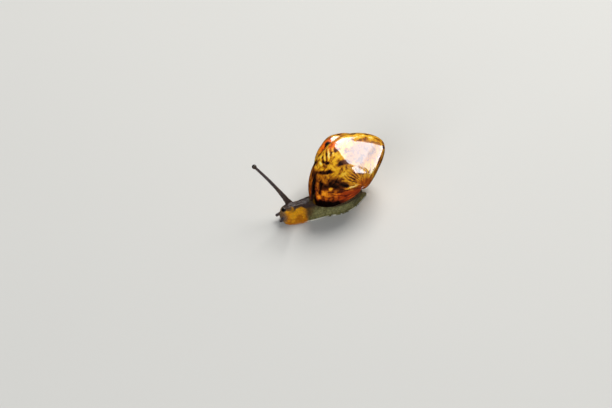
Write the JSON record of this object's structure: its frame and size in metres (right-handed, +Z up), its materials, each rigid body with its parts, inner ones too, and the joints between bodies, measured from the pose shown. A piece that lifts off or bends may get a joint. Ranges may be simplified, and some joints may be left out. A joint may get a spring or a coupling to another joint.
{
  "type": "land snail",
  "caption": "Young land snail crawling with head and feelers out, its glossy globular shell carried over a long flat sole.",
  "frame": {"origin": "on the floor, under the middle of the sole", "axes": "the snail heads along -Y, its left side is on +X, +Z is up and the sole lies on Z = 0"},
  "size_m": [0.0147, 0.025, 0.015],
  "materials": {
    "shell": "thin glossy amber shell with brown bands broken by yellow flecks",
    "flesh": "wet, finely tubercled olive-brown skin, orange on the side of the head",
    "eye": "dark, smooth and wet"
  },
  "bodies": {
    "root": {"shell": "shell", "mantle_collar": "flesh", "head": "flesh", "neck": "flesh", "trunk": "flesh", "foot_rear": "flesh", "tail": "flesh", "upper_feeler_right_base": "flesh", "upper_feeler_right_middle": "flesh", "upper_feeler_right_tip": "flesh", "upper_feeler_left_base": "flesh", "upper_feeler_left_middle": "flesh", "upper_feeler_left_tip": "flesh", "lower_feeler_right": "flesh", "lower_feeler_left": "flesh", "eye_right": "eye", "eye_left": "eye"}
  },
  "joints": []
}
